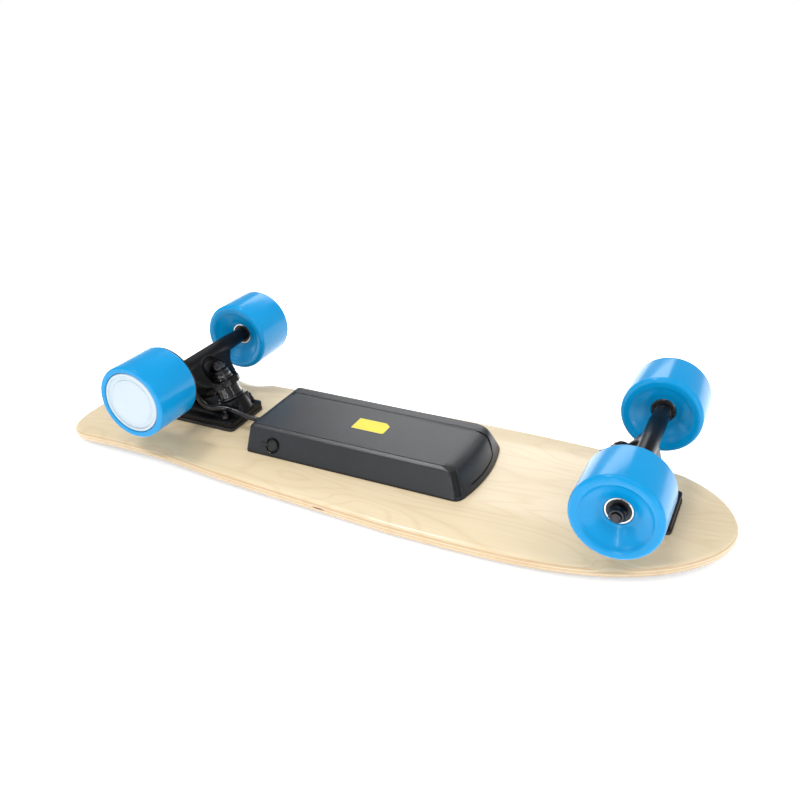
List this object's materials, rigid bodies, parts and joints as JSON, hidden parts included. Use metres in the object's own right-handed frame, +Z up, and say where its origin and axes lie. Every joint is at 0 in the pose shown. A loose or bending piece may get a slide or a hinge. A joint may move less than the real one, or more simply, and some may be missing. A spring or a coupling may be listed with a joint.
{
  "type": "electric skateboard",
  "caption": "Short electric cruiser skateboard lying wheels up, with steering trucks, blue wheels, a hub motor wheel and a battery and controller box under the deck.",
  "frame": {"origin": "centre of the bounding box at its lowest level, on the plane that the riding face lies on", "axes": "+X from the tail to the nose, +Z up out of the deck's underside towards the wheels, -Y the side with the motor wheel"},
  "size_m": [0.648, 0.2174, 0.1126],
  "materials": {
    "maple": "clear lacquer",
    "grip": "abrasive grit",
    "black_rubber": "matte",
    "cast_black": "black paint, satin",
    "black_plastic": "satin",
    "box_plastic": "fine grain",
    "urethane": "gloss",
    "bushing": "satin",
    "steel": "ground",
    "black_steel": "black oxide",
    "hub_white": "gloss",
    "winding": "lacquered wire",
    "cell_wrap": "shrink wrap",
    "circuit": "solder resist",
    "label": "printed film"
  },
  "bodies": {
    "board": {"deck": "maple", "grip_sheet": "grip", "rear_truck_bolt_1": "black_steel", "rear_truck_bolt_2": "black_steel", "rear_truck_bolt_3": "black_steel", "rear_truck_bolt_4": "black_steel", "rear_riser_pad": "black_rubber", "rear_baseplate": "cast_black", "rear_pivot_cup": "black_plastic", "rear_kingpin": "black_steel", "rear_board_bushing": "bushing", "rear_road_bushing": "bushing", "rear_road_washer": "black_steel", "rear_kingpin_nut": "black_steel", "front_truck_bolt_1": "black_steel", "front_truck_bolt_2": "black_steel", "front_truck_bolt_3": "black_steel", "front_truck_bolt_4": "black_steel", "front_riser_pad": "black_rubber", "front_baseplate": "cast_black", "front_pivot_cup": "black_plastic", "front_kingpin": "black_steel", "front_board_bushing": "bushing", "front_road_bushing": "bushing", "front_road_washer": "black_steel", "front_kingpin_nut": "black_steel", "enclosure_lid": "box_plastic", "enclosure_gasket": "black_rubber", "cable_grommet": "black_rubber", "label": "label", "battery_pack": "cell_wrap", "controller_board": "circuit", "charge_socket": "black_plastic", "motor_cable": "black_rubber"},
    "front_truck": {"front_hanger": "cast_black", "front_axle": "steel", "front_left_axle_nut": "black_steel", "front_right_axle_nut": "black_steel"},
    "rear_truck": {"rear_hanger": "cast_black", "rear_axle": "steel", "rear_right_axle_nut": "black_steel", "motor_axle": "steel", "motor_stator": "winding"},
    "front_left_wheel": {"front_left_tyre": "urethane", "front_left_outer_bearing": "steel", "front_left_inner_bearing": "steel"},
    "front_right_wheel": {"front_right_tyre": "urethane", "front_right_outer_bearing": "steel", "front_right_inner_bearing": "steel"},
    "rear_right_wheel": {"rear_right_tyre": "urethane", "rear_right_outer_bearing": "steel", "rear_right_inner_bearing": "steel"},
    "motor_wheel": {"motor_tyre": "urethane", "motor_rotor_shell": "black_steel", "motor_outer_cover": "hub_white", "motor_inner_cover": "cast_black", "motor_outer_bearing": "steel", "motor_inner_bearing": "steel"},
    "charge_cap": {"charge_cap": "black_rubber"},
    "power_button": {"power_button": "black_plastic"}
  },
  "joints": [
    {"name": "front_truck_steer", "type": "hinge", "parent": "board", "child": "front_truck", "pos_m": [0.261, 0, 0.03567], "axis": [-0.9051, 0, 0.4252], "range_deg": [-12, 12], "stiffness_Nm_per_rad": 80, "deforming": ["front_board_bushing", "front_road_bushing"]},
    {"name": "rear_truck_steer", "type": "hinge", "parent": "board", "child": "rear_truck", "pos_m": [-0.211, 0, 0.03567], "axis": [0.9051, 0, 0.4252], "range_deg": [-12, 12], "stiffness_Nm_per_rad": 80, "deforming": ["rear_board_bushing", "rear_road_bushing", "motor_cable"]},
    {"name": "front_left_wheel_spin", "type": "hinge", "parent": "front_truck", "child": "front_left_wheel", "pos_m": [0.245, 0, 0.07758], "axis": [0, 1, 0], "continuous": true},
    {"name": "front_right_wheel_spin", "type": "hinge", "parent": "front_truck", "child": "front_right_wheel", "pos_m": [0.245, 0, 0.07758], "axis": [0, 1, 0], "continuous": true},
    {"name": "rear_right_wheel_spin", "type": "hinge", "parent": "rear_truck", "child": "rear_right_wheel", "pos_m": [-0.195, 0, 0.07758], "axis": [0, 1, 0], "continuous": true},
    {"name": "motor_wheel_spin", "type": "hinge", "parent": "rear_truck", "child": "motor_wheel", "pos_m": [-0.195, 0, 0.07758], "axis": [0, 1, 0], "continuous": true},
    {"name": "charge_cap_hinge", "type": "hinge", "parent": "board", "child": "charge_cap", "pos_m": [-0.09745, -0.04881, 0.02906], "axis": [0, -0.3803, -0.9249], "range_deg": [0, 110]},
    {"name": "power_button_press", "type": "slide", "parent": "board", "child": "power_button", "axis": [0, -0.9249, -0.3803], "range_m": [0, 0.0015], "stiffness_N_per_m": 600}
  ]
}
